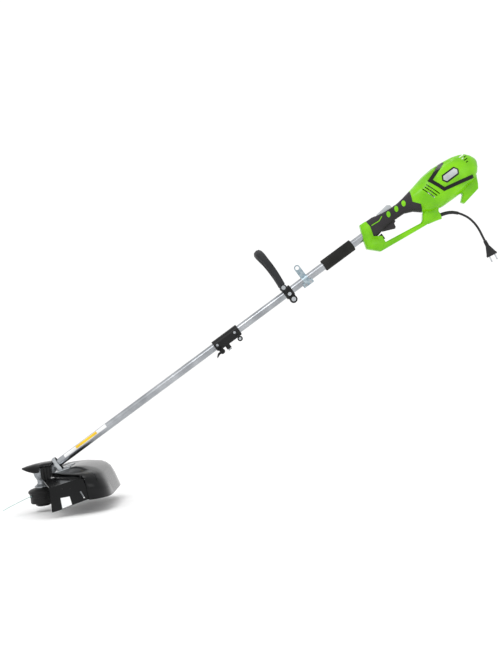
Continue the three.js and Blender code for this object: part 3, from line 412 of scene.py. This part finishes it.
def plate(name, corners, side, targets, finish, body, thick):      # a film laid on along Y
    flat = bpy.data.curves.new(name, "CURVE")
    flat.dimensions = "2D"
    flat.fill_mode = "BOTH"
    spline = flat.splines.new("POLY")
    spline.points.add(len(corners) - 1)
    spline.use_cyclic_u = True
    for point, corner in zip(spline.points, corners):
        point.co = (corner.x, corner.z, 0, 1)
    piece = bpy.data.objects.new(name, flat)
    bpy.context.scene.collection.objects.link(piece)
    piece.rotation_euler.x = math.radians(90)
    piece.location.y = side * film["stand"] * mm
    alone(piece)
    bpy.ops.object.convert(target="MESH")
    bpy.ops.object.transform_apply(location=True, rotation=True, scale=True)
    bpy.ops.object.mode_set(mode="EDIT")
    bpy.ops.mesh.select_all(action="SELECT")
    bpy.ops.mesh.remove_doubles(threshold=film["merge"] * mm)
    bpy.ops.mesh.subdivide(number_cuts=film["cuts"])
    if sum(face.normal.y for face in bmesh.from_edit_mesh(piece.data).faces) * side < 0:
        bpy.ops.mesh.flip_normals()
    bpy.ops.object.mode_set(mode="OBJECT")
    wrap = piece.modifiers.new("laid", "SHRINKWRAP")
    wrap.wrap_method = "PROJECT"
    wrap.wrap_mode = "ABOVE_SURFACE"
    wrap.use_project_y = True
    wrap.use_negative_direction = True
    wrap.use_positive_direction = True
    wrap.project_limit = film["reach"] * mm
    wrap.target = targets[0]
    if len(targets) > 1:
        wrap.auxiliary_target = targets[1]
    wrap.offset = film["gap"] * mm
    solidify = piece.modifiers.new("thickness", "SOLIDIFY")
    solidify.thickness = thick * mm
    solidify.offset = 1
    settle(piece, name, finish, body, film["sharp"])


tubeLabels = {
    "white": {"corners": [(104, 0), (274, 0), (274, 11), (104, 11)], "thick": 0.2},
    "yellow": {"corners": [(152, 1.5), (236, 1.5), (236, 10), (152, 10)], "thick": 0.5},
}
for colour, label in tubeLabels.items():
    plate(f"tube_label_{colour}", outline(label["corners"]), sides["near"], [made["lower_tube"]],
          f"{colour}Film", "lower_unit", label["thick"])

badge = {"at": (1666, -8), "length": 56, "height": 20, "slope": 0.6}
badgeParts = {
    "frame": {"grow": 5, "finish": "trimAbs", "slot": "black_trim", "thick": 0.9},
    "face": {"grow": 0, "finish": "silverFilm", "slot": "lever_grey", "thick": 1.3},
}


def badgeOutline(grow):                  # a flattened hexagon round the badge's middle
    half = badge["length"] / 2 + grow
    tall = badge["height"] / 2 + grow
    flat = half - tall * badge["slope"]
    ring = [(-half, 0), (-flat, -tall), (flat, -tall), (half, 0), (flat, tall), (-flat, tall)]
    along, rise = badge["at"]
    return outline([(along + a, rise + b) for a, b in ring])


for word, side in sides.items():
    under = [made[f"housing_{word}"], made[f"trim_{word}"]]
    for part, look in badgeParts.items():
        plate(f"badge_{part}_{word}", badgeOutline(look["grow"]), side, under, look["finish"], "upper_unit",
              look["thick"])

ovals = {"places": [(1433, 9), (1464, 8), (1493, 8)], "width": 13, "height": 20, "lean": 30, "steps": 20,
         "thick": 0.6}
chevron = {"line": [(1366, 12.5), (1396, 10), (1412, 17)], "width": 2.6, "thick": 0.4, "thicker": 0.1}


def ovalOutline(along, rise):
    lean = math.radians(ovals["lean"])
    ring = []
    for k in range(ovals["steps"]):
        angle = k / ovals["steps"] * 2 * math.pi
        wide = ovals["width"] / 2 * math.cos(angle)
        tall = ovals["height"] / 2 * math.sin(angle)
        ring.append((along + wide * math.cos(lean) + tall * math.sin(lean),
                     rise - wide * math.sin(lean) + tall * math.cos(lean)))
    return outline(ring)


def strokeOutline(start, end, width):
    start = Vector(start)
    end = Vector(end)
    run = (end - start).normalized()
    off = Vector((-run.y, run.x)) * width / 2
    return outline([start - off, end - off, end + off, start + off])


def gripMark(name, corners, word, thick):
    plate(name, corners, sides[word], [made[f"grip_{word}"]], "limeAbs", "upper_unit", thick)


for word in sides:
    for number, (along, rise) in enumerate(ovals["places"], 1):
        gripMark(f"grip_oval_{word}_{number}", ovalOutline(along, rise), word, ovals["thick"])
    for number, (start, end) in enumerate(zip(chevron["line"], chevron["line"][1:]), 1):
        thick = chevron["thick"] + chevron["thicker"] * number       # the strokes overlap, so each differs
        gripMark(f"grip_line_{word}_{number}", strokeOutline(start, end, chevron["width"]), word, thick)
guardLabel = {"corners": [(96, -88), (127, -79), (122, -53), (93, -55)], "thick": 0.3}
plate("guard_label", [onHead(x, 0, z) for x, z in guardLabel["corners"]], sides["near"],
      [made["guard_extension"]], "whiteFilm", "lower_unit", guardLabel["thick"])
print("labels and badges made")


room = {"floor": -0.70, "size": 60, "middle": (-0.15, 0, -0.2), "glow": 1.05}
lights = {
    "key": {"at": (-1.6, -2.6, 2.4), "power": 26, "size": 0.8},
    "fill": {"at": (2.4, -2.4, 0.9), "power": 6, "size": 1.2},
    "top": {"at": (0, 0.6, 3.0), "power": 10, "size": 0.9},
}
bpy.ops.object.select_all(action="DESELECT")
bpy.ops.mesh.primitive_plane_add(size=room["size"], location=(0, 0, room["floor"]))
floor = bpy.context.object
floor.name = "floor"
# near white, so that only the soft shadow shows on it
floor.data.materials.append(surface("pale_studio_floor", {
    "dark": "FAFAFA", "light": "FEFEFE", "grain": 4, "rough": 0.7, "depth": 0.02}))
for name, look in lights.items():
    light = bpy.data.lights.new(name, "AREA")
    light.energy = look["power"]
    light.size = look["size"]
    lamp = bpy.data.objects.new(name, light)
    bpy.context.scene.collection.objects.link(lamp)
    lamp.location = look["at"]
    lamp.rotation_euler = (Vector(room["middle"]) - Vector(look["at"])).to_track_quat("-Z", "Y").to_euler()
world = bpy.data.worlds.new("studio")
world.use_nodes = True
background = world.node_tree.nodes["Background"]
background.inputs["Color"].default_value = (1, 1, 1, 1)
background.inputs["Strength"].default_value = room["glow"]
bpy.context.scene.world = world
print("floor and light set")
